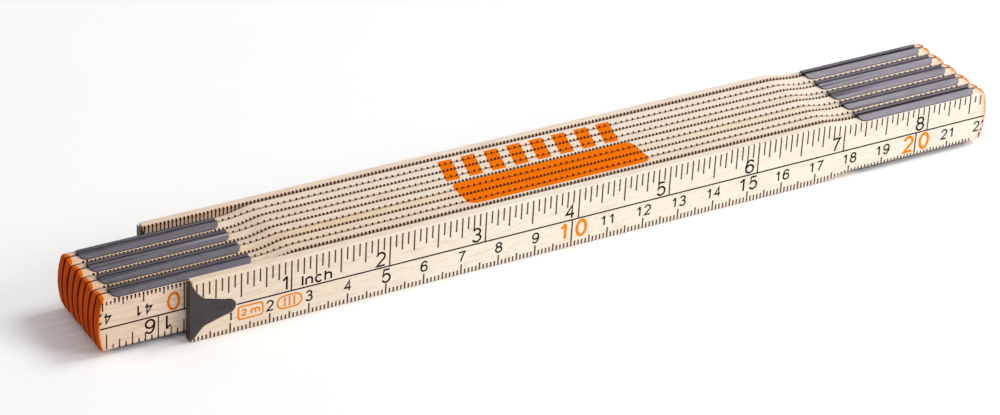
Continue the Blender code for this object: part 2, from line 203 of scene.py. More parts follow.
def wood_material(leaf):
    """Birch: broad tone, long streaks, fine fibres and flecks, and paint on the end grain."""
    warm, pink, slope = LEAF_TONES[leaf]
    graph = Graph(f"birch_leaf_{leaf:02d}")
    shift = leaf_shift(leaf)
    turn = (0, math.radians(slope), math.radians(slope))

    broad = graph.noise(graph.millimetres(shift, turn, (0.012, 0.2, 0.16)), detail=3, distortion=0.6)
    streaks = graph.noise(graph.millimetres(shift, turn, (0.05, 1.6, 1.5)), detail=4, roughness=0.6,
                          distortion=0.8)
    fibres = graph.noise(graph.millimetres(shift, turn, (0.35, 9, 9)), detail=3, roughness=0.65)
    flecks = graph.noise(graph.millimetres(shift, turn, (0.3, 2.4, 2.4)), detail=2, distortion=1.2)

    base = graph.mix(graph.spread(broad, 0.3, 0.7, 0.1 * warm, warm), PALE, WARM)
    base = graph.mix(graph.spread(streaks, 0.35, 0.7, 0.1 * pink, 0.9 * pink), base, PINK)
    base = graph.mix(graph.spread(streaks, 0.52, 0.76, 0, 0.38), base, FIBRE)
    base = graph.mix(graph.spread(fibres, 0.5, 0.8, 0, 0.3), base, FIBRE)
    base = graph.mix(graph.spread(flecks, 0.64, 0.74, 0, 0.36), base, FIBRE)

    x, _, z = graph.parts("Object")
    normal_x, _, normal_z = [graph.maths("ABSOLUTE", part) for part in graph.parts("Normal")]
    height = graph.maths("ABSOLUTE", graph.maths("SUBTRACT", z, MID_HEIGHT))
    # Painted shade: the flat top and bottom edges a little darker
    edge = graph.spread(normal_z, 0.5, 0.95, 0, 0.35)
    base = graph.mix(edge, base, FLAT_EDGE_PAINTED_SHADE, blend="MULTIPLY")
    # Painted shade on the faces between the leaves, near their long edges
    if leaf > 1:
        upright = graph.spread(normal_z, 0.3, 0.8, 1, 0)
        gap_shade_share = graph.spread(height, MID_HEIGHT - 2.0 * MM, MID_HEIGHT - 0.5 * MM, 0, 0.6)
        base = graph.mix(graph.maths("MULTIPLY", gap_shade_share, upright), base, GAP_PAINTED_SHADE)
    # Painted shade: the wood darker and warmer towards the zero end
    zero_end_shade = graph.spread(x, *ZERO_END_SHADE_FADE, 1, 0)
    base = graph.mix(zero_end_shade, base, ZERO_END_PAINTED_SHADE, blend="MULTIPLY")

    side = graph.spread(normal_z, 0.1, 0.25, 1, 0)
    painted, stained = end_paint_masks(graph, leaf, x, height, side)
    base = graph.mix(stained, base, STAIN)
    colour = graph.mix(painted, base, end_paint_colour(graph, leaf, x, normal_x, side))

    roughness = graph.spread(fibres, 0.3, 0.7, 0.38, 0.52)
    roughness = graph.maths("MULTIPLY_ADD", painted, 0.15, roughness)
    relief = graph.maths("MULTIPLY_ADD", fibres, 0.7, streaks)
    graph.shade(Base_Color=colour, Roughness=roughness, Normal=graph.bump(relief, 0.02 * MM, 0.5))
    graph.shader.inputs["Specular IOR Level"].default_value = WOOD_SHINE
    return graph.material


def lies_deep(leaf):
    """Whether a leaf lies so deep in the stack that its neighbours hide its faces, but for a few places."""
    return 2 < leaf < LEAF_COUNT


def end_paint_masks(graph, leaf, x, height, side):
    """Where paint covers a leaf's end grain and a ragged rim, and how much it stains the wood beyond."""
    from_middle = x if leaf in (1, LEAF_COUNT) else graph.maths("ABSOLUTE", x)
    share = graph.maths("DIVIDE", height, END_HALF_HEIGHT, clamp=True)
    bow = graph.maths("MULTIPLY", graph.maths("POWER", share, BOW_POWER), END_SETBACK)
    corner = graph.maths("MULTIPLY", graph.maths("POWER", share, CORNER_POWER), END_CORNER)
    from_tip = graph.maths("SUBTRACT", LEAF_TIP, from_middle)
    depth = graph.maths("SUBTRACT", from_tip, graph.maths("ADD", bow, corner))
    ragged = graph.noise(graph.millimetres((7.0 * leaf, 0, 0), scale=(1.5, 1.5, 2.2)), detail=4,
                         roughness=0.7)
    limit = graph.spread(ragged, 0.3, 0.7, *PAINT_RIM_WIDTHS)
    # On deep leaves the paint runs further on the faces between the leaves, as painted shade there
    if lies_deep(leaf):
        limit = graph.maths("MULTIPLY_ADD", side, PAINT_RUN_FOR_GAP_SHADE, limit)
    painted = graph.maths("LESS_THAN", depth, limit)
    reach = graph.maths("MULTIPLY_ADD", ragged, -2.0 * MM, depth)
    return painted, graph.spread(reach, -0.6 * MM, 0.8 * MM, 0.5, 0)


def end_paint_colour(graph, leaf, x, normal_x, side):
    """Orange soaked into the end grain, painted shade between the leaves, a lighter rim with painted
    highlight.
    """
    shift = leaf_shift(leaf)
    grit = graph.noise(graph.millimetres(shift, scale=(2, 9, 1.2)), detail=4, roughness=0.7)
    furrows = graph.noise(graph.millimetres(shift, scale=(0.5, 1.1, 0.1)), detail=3, roughness=0.6)
    paint = graph.mix(graph.spread(grit, 0.3, 0.7), PAINT_LIT, PAINT_DEEP)
    paint = graph.mix(graph.spread(furrows, 0.5, 0.66, 0, 0.6), paint, PAINT_STREAK)
    rim = graph.spread(normal_x, 0.35, 0.65, 1, 0)
    if lies_deep(leaf):
        # Painted shade on the paint of the faces between the leaves
        paint = graph.mix(graph.maths("MULTIPLY", rim, side), paint, PAINTED_SHADE_ON_PAINT)
        rim = graph.maths("SUBTRACT", rim, side, clamp=True)
    # Painted highlight: the light rim grows stronger towards the right-hand end
    rim = graph.maths("MULTIPLY", rim, graph.spread(x, -LEAF_TIP, LEAF_TIP, 0.5, 1))
    return graph.mix(rim, paint, PAINT_THIN_RIM_AND_HIGHLIGHT)


BARE_STEEL = rgb(170, 165, 165)
EDGE_RADII = {"plate": 0.06 * MM, "cap": 0.1 * MM}


def steel_material(name, colour, metallic, roughness, mottle, sheen_colour):
    """Bronzed sheet steel: a mottled dark skin with faint rolling marks and rubbed patches."""
    graph = Graph(name)
    clouds = graph.noise(graph.millimetres(scale=(0.25, 0.6, 0.6)), detail=5, roughness=0.6)
    grain = graph.noise(graph.millimetres(scale=(3, 9, 9)), detail=3, roughness=0.6)
    rolled = graph.noise(graph.millimetres(scale=(0.08, 7, 7)), detail=3, roughness=0.6)
    specks = graph.noise(graph.millimetres(scale=(2.5, 2.5, 2.5)), detail=2)
    tone = graph.mix(graph.spread(clouds, 0.35, 0.65, 0, mottle), colour, sheen_colour)
    tone = graph.mix(graph.spread(rolled, 0.45, 0.75, 0, 0.35), tone, sheen_colour)
    tone = graph.mix(graph.spread(specks, 0.72, 0.78, 0, 0.5), tone, BARE_STEEL)
    rough = graph.spread(clouds, 0.3, 0.7, roughness - 0.06, roughness + 0.08)
    rough = graph.maths("MULTIPLY_ADD", grain, 0.1, rough)
    relief = graph.maths("MULTIPLY_ADD", rolled, 0.6, grain)
    graph.shade(Base_Color=tone, Roughness=rough, Normal=graph.bump(relief, 0.012 * MM, 0.5))
    graph.shader.inputs["Metallic"].default_value = metallic
    return graph.material


def ink_material(name, colour, faded):
    """Printing ink, a little thinner where the wood's fibres stand up."""
    graph = Graph(name)
    thin = graph.noise(graph.millimetres(scale=(0.8, 5, 5)), detail=3, roughness=0.7)
    patches = graph.noise(graph.millimetres(scale=(0.3, 0.3, 0.3)), detail=2)
    tone = graph.mix(graph.spread(thin, 0.45, 0.8, 0, 0.55), colour, faded)
    tone = graph.mix(graph.spread(patches, 0.35, 0.7, 0, 0.3), tone, faded)
    rough = graph.spread(thin, 0.3, 0.7, 0.45, 0.6)
    graph.shade(Base_Color=tone, Roughness=rough)
    graph.shader.inputs["Specular IOR Level"].default_value = INK_SHINE
    return graph.material


def dress_cad_nodes():
    """Gives every CAD node its finished material, and the sheet metal a small edge radius."""
    steel = {
        "plate": steel_material("bronzed_plate", rgb(82, 78, 82), 0.8, 0.4, 0.5, rgb(106, 103, 113)),
        "rivet": steel_material("rivet_steel", rgb(150, 150, 152), 1.0, 0.3, 0.4, rgb(180, 180, 182)),
        "spring": steel_material("spring_steel", rgb(120, 122, 130), 1.0, 0.28, 0.4, rgb(150, 152, 160)),
        "cap": steel_material("bronzed_cap", rgb(66, 61, 62), 0.7, 0.45, 0.6, rgb(82, 77, 78)),
    }
    for name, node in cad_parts.items():
        kind = name.split("_")[-1]
        if name.startswith("leaf_"):
            material = wood_material(int(kind))
        else:
            material = steel["rivet" if kind == "pin" else kind]
        for slot in node.material_slots:
            slot.material = material
        if kind in EDGE_RADII:
            soften_edges(node, EDGE_RADII[kind])


def soften_edges(node, radius):
    """Joins the CAD facets' shared corners and rounds the sharp edges between them."""
    weld = node.modifiers.new("weld", "WELD")
    weld.merge_threshold = 0.001 * MM
    bevel = node.modifiers.new("edges", "BEVEL")
    bevel.width = radius
    bevel.segments = 2
    bevel.limit_method = "ANGLE"
    bevel.angle_limit = math.radians(40)


# Print

# The ticks of the leaves behind the first take a darker ink, painted shade of the gaps between the leaves
TICK_INK, BLACK_INK, ORANGE_INK, TICK_INK_PAINTED_SHADE, DEEP_ORANGE_INK, SYMBOL_INK = range(6)
INK_LIFT = (0.012 * MM, 0.017 * MM, 0.014 * MM, 0.012 * MM, 0.014 * MM, 0.014 * MM)
STROKE_LIFT = 0.002 * MM       # of each further stroke of a character, over the one before
INK_SINK = 0.01 * MM
LINE_WIDTH = 0.38 * MM
CM_TICK_WIDTH = 0.41 * MM
INCH_TICK_WIDTH = 0.38 * MM
STROKE = 0.5 * MM
SMALL_STROKE = 0.42 * MM
BOLD_STROKE = 0.78 * MM        # the tens on the first leaf
TEN_STROKE = 0.64 * MM         # and on the others
PEN_STEP = 0.15 * MM
MITRE_LIMIT = 0.45             # least cosine of a mitre's half turn
TINY = 0.01 * MM               # lengths under this count as none

# Reach of the ticks from the middle line, and where they end at the leaf's edge
CM_TICK_ENDS = {100: 0, 10: 4.6 * MM, 5: 5.4 * MM, 1: 6.05 * MM}
INCH_TICK_ENDS = {16: 0, 8: 1.65 * MM, 4: 2.65 * MM, 2: 3.65 * MM, 1: 4.65 * MM}
INCH_TICK_START = 8.05 * MM
OVER_THE_EDGE = 20 * MM
FACE_DEPTH = 0.003 * MM        # just behind the flat face
TICK_DEPTH = 0.27 * MM         # how far a tick runs on over the edge's rounding
FINE_TICKS = 0.8               # how much finer ticks are on the leaves behind the first
TICK_SPREAD = 1.25             # and how much wider, where the ink has run over their edges
SPREAD_LENGTH = 0.5 * MM
TICK_SAMPLES = 24
LINE_SAMPLES = 400

INCH_DIGITS = 4.0 * MM
INCH_BASELINE = 0.4 * MM
INCH_GAPS = (0.8 * MM, 0.5 * MM)      # before and after the mark
FIRST_INCH_SHIFT = 0.9 * MM
CM_DIGITS = 3.0 * MM
CM_BASELINE = -4.05 * MM
FIVE_DIGITS = 3.9 * MM
FIVE_BASELINE = -4.45 * MM
TEN_DIGITS = 4.95 * MM
LONG_TEN_DIGITS = 4.1 * MM            # where a ten has three digits
TEN_BASELINE = -5.3 * MM
TEN_GAPS = (0.2 * MM, 0.7 * MM)

DIGIT_WIDTH = 0.66                    # of its height
DIGIT_ADVANCE = 0.777
LETTER_WIDTHS = {"I": 0.0, "n": 0.52, "c": 0.52, "h": 0.52, "m": 0.95}
LETTER_GAP = 0.31
X_HEIGHT = 0.72

# The unit word, and the length and the accuracy class in frames
UNIT_START = 28.0 * MM
UNIT_HEIGHT = 2.95 * MM
UNIT_STROKE = 0.48 * MM
SYMBOL_STROKE = 0.44 * MM
FRAME_TOP = -0.95 * MM
FRAME_BOTTOM = -4.3 * MM
LENGTH_FRAME = (12.0 * MM, 18.2 * MM, 0.7 * MM)
LENGTH_BASELINE = -3.6 * MM
LENGTH_DIGIT_START = 12.7 * MM
LENGTH_DIGIT_HEIGHT = 2.0 * MM
LENGTH_LETTER_START = 15.15 * MM
LENGTH_LETTER_HEIGHT = 2.05 * MM
CLASS_FRAME = (21.9 * MM, 28.1 * MM, (FRAME_TOP - FRAME_BOTTOM) / 2)
CLASS_PLACES = (23.8 * MM, 25.0 * MM, 26.2 * MM)
CLASS_ENDS = (-3.7 * MM, -1.55 * MM)
CLASS_LIFT = 0.001 * MM
SERIF_REACH = 0.42 * MM
SERIF_STROKE = 0.18 * MM

# Millimetres from half a leaf's height to its middle line, at the start and the end of the leaf's scale
LEAF_SKEW = {1: (-0.7, -0.2), 2: (0.1, 0.6), 3: (-0.25, -0.3), 4: (0.0, 0.1), 5: (0.0, 0.05),
             6: (0.2, 0.1), 7: (-0.3, -0.2), 8: (0.3, 0.25), 9: (-0.35, -0.3), 10: (0.1, 0.2)}


def arc(centre_x, centre_y, radius_x, radius_y, start, end, steps):
    """Points on an ellipse from one angle to another, in degrees, anticlockwise if end > start."""
    points = []
    for step in range(steps + 1):
        angle = math.radians(start + (end - start) * step / steps)
        points.append((centre_x + radius_x * math.cos(angle), centre_y + radius_y * math.sin(angle)))
    return points


def rounded_rectangle(left, right, low, high, radius, steps):
    """Points anticlockwise round a rectangle with rounded corners, from its right-hand side."""
    points = []
    corners = ((right - radius, high - radius), (left + radius, high - radius),
               (left + radius, low + radius), (right - radius, low + radius))
    for number, (x, y) in enumerate(corners):
        points += arc(x, y, radius, radius, 90 * number, 90 * number + 90, steps)
    return points


def turned(strokes):
    """Strokes turned half round in the unit square."""
    return [[(1 - x, 1 - y) for x, y in stroke] for stroke in strokes]


SIX = [arc(0.5, 0.31, 0.5, 0.31, 180, -180, 16),
       arc(0.52, 0.78, 0.44, 0.22, 12, 90, 5) + arc(0.52, 0.4, 0.52, 0.6, 100, 180, 8) + [(0, 0.31)]]

# Middle lines of the strokes of each character, in a unit square
STROKES = {
    "0": [arc(0.5, 0.5, 0.5, 0.5, 90, 450, 20)],
    "1": [[(0.62, 0), (0.62, 1)], [(0.62, 1), (0.4, 0.84), (0.16, 0.74)]],
    "2": [arc(0.5, 0.71, 0.48, 0.29, 170, -28, 12) + [(0.5, 0.3), (0.03, 0), (1, 0)]],
    "3": [arc(0.47, 0.765, 0.43, 0.235, 160, -80, 10) + [(0.34, 0.53)],
          arc(0.47, 0.27, 0.5, 0.27, 85, -160, 12)],
    "4": [[(0.72, 0), (0.72, 1), (0, 0.3), (1, 0.3)]],
    "5": [[(0.9, 1), (0.2, 1), (0.08, 0.48)] + arc(0.48, 0.33, 0.5, 0.33, 140, -155, 12)],
    "6": SIX,
    "7": [[(0, 1), (1, 1), (0.72, 0.68), (0.5, 0.34), (0.36, 0)]],
    "8": [arc(0.5, 0.77, 0.42, 0.23, -90, 270, 16), arc(0.5, 0.27, 0.5, 0.27, 90, 450, 16)],
    "9": turned(SIX),
    "I": [[(0, 0), (0, 1)]],
    "n": [[(0, 0), (0, X_HEIGHT)], [(0, 0.5)] + arc(0.5, 0.49, 0.5, 0.25, 165, 0, 6) + [(1, 0)]],
    "h": [[(0, 0), (0, 1)], [(0, 0.5)] + arc(0.5, 0.49, 0.5, 0.25, 165, 0, 6) + [(1, 0)]],
    "c": [arc(0.52, 0.37, 0.52, 0.37, 40, 320, 12)],
    "m": [[(0, 0), (0, X_HEIGHT)],
          [(0, 0.5)] + arc(0.25, 0.53, 0.25, 0.21, 165, 0, 6) + [(0.5, 0)],
          [(0.5, 0.5)] + arc(0.75, 0.53, 0.25, 0.21, 165, 0, 6) + [(1, 0)]],
}


def finely(line):
    """The same (along, up) line with points no more than a pen's step apart."""
    fine = [line[0]]
    for start, end in zip(line, line[1:]):
        pieces = max(1, math.ceil(math.dist(start, end) / PEN_STEP))
        for piece in range(1, pieces + 1):
            share = piece / pieces
            fine.append((start[0] + (end[0] - start[0]) * share, start[1] + (end[1] - start[1]) * share))
    return fine


class PrintedFace:
    """One face of a leaf, and the thin closed strips of ink on it."""

    def __init__(self, leaf, side):
        self.leaf = leaf
        self.side = side
        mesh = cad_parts[leaf_name(leaf)].data
        corners = [vertex.co.copy() for vertex in mesh.vertices]
        self.surface = BVHTree.FromPolygons(corners, [face.vertices for face in mesh.polygons])
        low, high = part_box(leaf_name(leaf))
        self.face_y = low.y if side == FRONT else high.y
        odd = leaf % 2 == 1
        # The scale runs towards +X on odd leaves and back on even ones, which are read upside down
        self.along_sign = 1 if odd else -1
        self.up_sign = self.along_sign * -side
        self.start = (leaf - 1) * PIVOT_SPACING
        self.start_x = LEFT_PIVOT_X if odd else RIGHT_PIVOT_X
        self.first = 0 if leaf == 1 else self.start - (LEAF_TIP - RIGHT_PIVOT_X)
        self.last = self.start + PIVOT_SPACING
        if leaf < LEAF_COUNT:
            self.last += LEAF_TIP - RIGHT_PIVOT_X
        self.points = []
        self.faces = []
        self.inks = []

    def x(self, along):
        """The model's x at a distance along the rule."""
        return self.start_x + self.along_sign * (along - self.start)

    def z(self, along, up):
        """The model's z at a height above the middle line, as the print is read."""
        share = (along - self.start) / PIVOT_SPACING
        low, high = LEAF_SKEW[self.leaf]
        if self.side == BACK:
            low, high = high, low
        return MID_HEIGHT + self.up_sign * (up + (low + (high - low) * share) * MM)

    def takes_ink(self, x, z):
        """Whether the flat face is there, rather than a seat, a rounded edge or nothing."""
        origin = Vector((x, self.face_y + self.side * MM, z))
        hit = self.surface.ray_cast(origin, Vector((0, -self.side, 0)), 2 * MM)[0]
        return hit is not None and abs(hit.y - self.face_y) < TINY

    def edge_profile(self, x, direction):
        """Points (y, z) from the flat face over the rounded edge, upwards or downwards."""
        profile = []
        for depth in (FACE_DEPTH, EDGE_CREST, TICK_DEPTH):
            y = self.face_y - self.side * depth
            origin = Vector((x, y, MID_HEIGHT + direction * LEAF_HEIGHT))
            hit = self.surface.ray_cast(origin, Vector((0, 0, -direction)), LEAF_HEIGHT)[0]
            if hit is None:
                return []
            profile.append((y, hit.z))
        return profile

    def strip(self, stations, ink, closed=False, raised=0.0):
        """A thin closed band through stations of (left point, right point, outward direction)."""
        start = len(self.points)
        lift = INK_LIFT[ink] + raised
        for left, right, outward in stations:
            for point, offset in ((left, lift), (right, lift), (right, -INK_SINK), (left, -INK_SINK)):
                self.points.append(point + outward * offset)
        count = len(stations)
        for index in range(count if closed else count - 1):
            here = start + 4 * index
            after = start + 4 * ((index + 1) % count)
            for corner in range(4):
                following = (corner + 1) % 4
                self.add_face((here + corner, here + following, after + following, after + corner), ink)
        if not closed:
            end = start + 4 * (count - 1)
            self.add_face((start + 3, start + 2, start + 1, start), ink)
            self.add_face((end, end + 1, end + 2, end + 3), ink)

    def add_face(self, corners, ink):
        self.faces.append(corners)
        self.inks.append(ink)

    def tick(self, along, inner, outer, width):
        """A tick between two heights; one that reaches the leaf's edge runs over its rounding."""
        x = self.x(along)
        z_inner = self.z(along, inner)
        z_outer = self.z(along, outer)
        direction = 1 if z_outer > z_inner else -1
        profile = self.edge_profile(x, direction)
        if not profile:
            return
        flat_end = profile[0][1]
        beyond = (z_outer - flat_end) * direction > 0
        z_outer = flat_end if beyond else z_outer
        stretch = self.flat_stretch(x, z_outer, z_inner, direction)
        if stretch is None:
            return
        start, end, at_edge = stretch
        wraps = beyond and at_edge and self.side == FRONT and abs(x) < RIGHT_PIVOT_X + PLATE_REACH
        outwards = Vector((0, self.side, 0))
        path = [(self.face_y, end, outwards), (self.face_y, start, outwards)]
        if wraps:
            path[1] = (self.face_y, flat_end - SPREAD_LENGTH * direction, outwards)
            leaning = (outwards * 2 + Vector((0, 0, direction))).normalized()
            path.append((self.face_y, flat_end, leaning))
            for y, z in profile[1:]:
                path.append((y, z, Vector((0, self.side, direction)).normalized()))
        stations = []
        for number, (y, z, outward) in enumerate(path):
            half = width / 2
            if self.leaf > 1:
                half *= TICK_SPREAD if number > 1 else FINE_TICKS
            stations.append((Vector((x - half, y, z)), Vector((x + half, y, z)), outward))
        # Leaves behind the first take the darker tick ink, painted shade of the gaps
        self.strip(stations, TICK_INK if self.leaf == 1 else TICK_INK_PAINTED_SHADE)

    def flat_stretch(self, x, z_outer, z_inner, direction):
        """The first stretch of a tick that takes ink, from its outer end inwards.

        Gives its two heights and whether it starts at the outer end, or None where it is too short.
        """
        heights = [z_outer + (z_inner - z_outer) * step / TICK_SAMPLES for step in range(TICK_SAMPLES + 1)]
        heights[0] -= 2 * TINY * direction
        good = [self.takes_ink(x, z) for z in heights]
        if True not in good:
            return None
        first = good.index(True)
        last = first
        while last < TICK_SAMPLES and good[last + 1]:
            last += 1
        if last - first < 2:
            return None
        return heights[first], heights[last], first == 0

    def stroke(self, line, width, ink, raised=0.0):
        """A pen stroke along (along, up) points on the flat face, broken where no ink takes."""
        closed = math.dist(line[0], line[-1]) < TINY
        if all(self.takes_pen(point) for point in line):
            self.ribbon(line[:-1] if closed else line, width, ink, closed, raised)
            return
        run = []
        for point in finely(line):
            if self.takes_pen(point):
                run.append(point)
            else:
                if len(run) > 1:
                    self.ribbon(run, width, ink, False, raised)
                run = []
        if len(run) > 1:
            self.ribbon(run, width, ink, False, raised)

    def takes_pen(self, point):
        """Whether an (along, up) point takes ink."""
        along, up = point
        return self.takes_ink(self.x(along), self.z(along, up))

    def ribbon(self, line, width, ink, closed=False, raised=0.0):
        """A strip of even width along (along, up) points, mitred at each of them."""
        count = len(line)
        outward = Vector((0, self.side, 0))
        stations = []
        for index, (along, up) in enumerate(line):
            here = Vector((along, up))
            before = Vector(line[index - 1 if closed else max(index - 1, 0)])
            after = Vector(line[(index + 1) % count if closed else min(index + 1, count - 1)])
            entering = (after - here if index == 0 and not closed else here - before).normalized()
            leaving = (here - before if index == count - 1 and not closed else after - here).normalized()
            across = Vector((-entering.y, entering.x))
            normal = (across + Vector((-leaving.y, leaving.x))).normalized()
            offset = normal * (width / 2 / max(normal.dot(across), MITRE_LIMIT))
            sides = []
            for point in (here + offset, here - offset):
                sides.append(Vector((self.x(point.x), self.face_y, self.z(point.x, point.y))))
            stations.append((*sides, outward))
        self.strip(stations, ink, closed, raised)

    def character(self, character, left, baseline, height, width, stroke, ink):
        """One character, its strokes kept inside its own width and height."""
        for number, points in enumerate(STROKES[character]):
            line = []
            for x, y in points:
                along = left + stroke / 2 + x * max(width - stroke, 0)
                line.append((along, baseline + stroke / 2 + y * (height - stroke)))
            self.stroke(line, stroke, ink, raised=STROKE_LIFT * number)

    def digits(self, text, left, baseline, height, stroke, ink):
        """Digits in cells of equal width, from the left edge of the first cell."""
        cell = DIGIT_ADVANCE * height
        width = DIGIT_WIDTH * height
        for index, digit in enumerate(text):
            start = left + index * cell + (cell - width) / 2
            self.character(digit, start, baseline, height, width, stroke, ink)

    def word(self, text, left, baseline, height, stroke, ink):
        """Letters, each with its own width, from the left edge of the first."""
        for letter in text:
            width = LETTER_WIDTHS[letter] * height + stroke
            self.character(letter, left, baseline, height, width, stroke, ink)
            left += width + LETTER_GAP * height - stroke

    def make(self, materials):
        """Turns the strips into one object that rides on the leaf."""
        mesh = bpy.data.meshes.new("print")
        mesh.from_pydata(self.points, [], self.faces)
        work = bmesh.new()
        work.from_mesh(mesh)
        bmesh.ops.recalc_face_normals(work, faces=work.faces)
        work.to_mesh(mesh)
        work.free()
        for material in materials:
            mesh.materials.append(material)
        mesh.polygons.foreach_set("material_index", self.inks)
        name = "front" if self.side == FRONT else "back"
        made = bpy.data.objects.new(f"{leaf_name(self.leaf)}_{name}_print", mesh)
        bpy.context.scene.collection.objects.link(made)
        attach(made, leaf_body(self.leaf))


def whole_marks(first, last, pitch):
    """Numbers of the marks at a pitch that fall between two distances along the rule."""
    slack = 1e-6
    return range(math.ceil(first / pitch - slack), math.floor(last / pitch + slack) + 1)


def print_metric(face):
    """Millimetre ticks below the middle line, and a numeral at each centimetre."""
    for mark in whole_marks(face.first, face.last, MM):
        size = next(size for size in CM_TICK_ENDS if mark % size == 0)
        if 0 < mark * MM < RULE_LENGTH:
            face.tick(mark * MM, -CM_TICK_ENDS[size], -OVER_THE_EDGE, CM_TICK_WIDTH)
    for mark in whole_marks(face.first, face.last, CENTIMETRE):
        along = mark * CENTIMETRE
        text = str(mark)
        if not 0 < along < RULE_LENGTH:
            continue
        if mark % 10 == 0:
            print_ten(face, along, text)
        elif mark % 5 == 0:
            half = DIGIT_ADVANCE * FIVE_DIGITS * len(text) / 2
            face.digits(text, along - half, FIVE_BASELINE, FIVE_DIGITS, STROKE, BLACK_INK)
        else:
            half = DIGIT_ADVANCE * CM_DIGITS * len(text) / 2
            face.digits(text, along - half, CM_BASELINE, CM_DIGITS, SMALL_STROKE, BLACK_INK)


def print_ten(face, along, text):
    """A bold orange numeral, whose last digit stands after the mark and the rest before it."""
    height = TEN_DIGITS if len(text) < 3 else LONG_TEN_DIGITS
    before = along - TEN_GAPS[0] - DIGIT_ADVANCE * height * (len(text) - 1)
    after = along + TEN_GAPS[1]
    ink, stroke = (ORANGE_INK, BOLD_STROKE) if face.leaf == 1 else (DEEP_ORANGE_INK, TEN_STROKE)
    face.digits(text[:-1], before, TEN_BASELINE, height, stroke, ink)
    face.digits(text[-1], after, TEN_BASELINE, height, stroke, ink)


def print_inches(face):
    """Ticks at sixteenths above the middle line, and a numeral astride each inch mark."""
    for mark in whole_marks(face.first, face.last, INCH / 16):
        along = mark * INCH / 16
        size = next(size for size in INCH_TICK_ENDS if mark % size == 0)
        if 0 < along < RULE_LENGTH:
            face.tick(along, INCH_TICK_ENDS[size], INCH_TICK_START, INCH_TICK_WIDTH)
    for mark in whole_marks(face.first, face.last, INCH):
        if mark == 0:
            continue
        text = str(mark)
        before = mark * INCH - INCH_GAPS[0] - DIGIT_ADVANCE * INCH_DIGITS
        if mark == 1:
            before += FIRST_INCH_SHIFT
        after = mark * INCH + INCH_GAPS[1]
        face.digits(text[0], before, INCH_BASELINE, INCH_DIGITS, STROKE, BLACK_INK)
        face.digits(text[1:], after, INCH_BASELINE, INCH_DIGITS, STROKE, BLACK_INK)


def print_middle_line(face):
    """A line from the first place on the leaf's middle that takes ink to the last."""
    line = []
    for step in range(LINE_SAMPLES + 1):
        along = face.first + (face.last - face.first) * step / LINE_SAMPLES
        if face.takes_pen((along, 0)):
            line.append((along, 0))
    if len(line) > 1:
        face.ribbon([line[0], line[-1]], LINE_WIDTH, BLACK_INK)


def print_symbols(face):
    """The unit word, the length and the accuracy class at the start of the rule."""
    face.word("Inch", UNIT_START, INCH_BASELINE, UNIT_HEIGHT, UNIT_STROKE, BLACK_INK)
    draw_frame(face, *LENGTH_FRAME)
    face.digits("2", LENGTH_DIGIT_START, LENGTH_BASELINE, LENGTH_DIGIT_HEIGHT, SYMBOL_STROKE, SYMBOL_INK)
    face.word("m", LENGTH_LETTER_START, LENGTH_BASELINE, LENGTH_LETTER_HEIGHT, SYMBOL_STROKE, SYMBOL_INK)
    draw_frame(face, *CLASS_FRAME)
    for along in CLASS_PLACES:
        face.stroke([(along, up) for up in CLASS_ENDS], SYMBOL_STROKE, SYMBOL_INK, CLASS_LIFT)
        for up in CLASS_ENDS:
            serif = [(along - SERIF_REACH, up), (along + SERIF_REACH, up)]
            face.stroke(serif, SERIF_STROKE, SYMBOL_INK)


def draw_frame(face, left, right, radius):
    """A rectangle with rounded corners, drawn with one closed stroke of distinct points."""
    line = rounded_rectangle(left, right, FRAME_BOTTOM, FRAME_TOP, radius, 6)
    line = [point for number, point in enumerate(line) if math.dist(point, line[number - 1]) > TINY]
    face.stroke(line + [line[0]], SYMBOL_STROKE, SYMBOL_INK)


def print_leaves():
    """The scales on both faces of every leaf, with the symbols on the first leaf's front face."""
    # In the order of the ink numbers
    inks = [
        ink_material("tick_ink", rgb(80, 54, 38), rgb(112, 82, 58)),
        ink_material("numeral_ink", rgb(30, 24, 22), rgb(56, 46, 42)),
        ink_material("orange_ink", rgb(246, 130, 0), rgb(250, 144, 12)),
        # darker, as painted shade of the gaps between the leaves
        ink_material("tick_ink_painted_shade", rgb(58, 36, 22), rgb(90, 58, 36)),
        ink_material("deep_orange_ink", rgb(226, 104, 0), rgb(234, 120, 10)),
        ink_material("symbol_ink", rgb(234, 132, 0), rgb(240, 144, 10)),
    ]
    for leaf in range(1, LEAF_COUNT + 1):
        for side in (FRONT, BACK):
            face = PrintedFace(leaf, side)
            print_metric(face)
            print_inches(face)
            print_middle_line(face)
            if leaf == 1 and side == FRONT:
                print_symbols(face)
            face.make(inks)


# Orange motif across the upper edges

MOTIF_LEFT = -26 * MM
MOTIF_RIGHT = 24 * MM
BAND_LOW_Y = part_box("leaf_02")[0].y + 0.7 * MM
BAND_HIGH_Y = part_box("leaf_05")[1].y
BAR_LOW_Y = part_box("leaf_06")[0].y + 0.8 * MM
BAR_HIGH_Y = middle("leaf_09").y
BAR_COUNT = 8
BAR_SHARE = 0.6                       # of the pitch
BAR_LEAN = 2.4 * MM
BAND_CORNER = 2.2 * MM
MOTIF_LIFT = 0.008 * MM
MOTIF_RUN = 0.4 * MM                  # how far it runs down the front faces


def motif_shapes():
    """A plain band with rounded corners, and a row of slanted bars behind it, as convex outlines."""
    shapes = [rounded_rectangle(MOTIF_LEFT, MOTIF_RIGHT, BAND_LOW_Y, BAND_HIGH_Y, BAND_CORNER, 8)]
    pitch = (MOTIF_RIGHT - MOTIF_LEFT - BAR_LEAN) / (BAR_COUNT - 1 + BAR_SHARE)
    for number in range(BAR_COUNT):
        left = MOTIF_LEFT + number * pitch
        right = left + BAR_SHARE * pitch
        shapes.append([(left, BAR_LOW_Y), (right, BAR_LOW_Y), (right + BAR_LEAN, BAR_HIGH_Y),
                       (left + BAR_LEAN, BAR_HIGH_Y)])
    return shapes


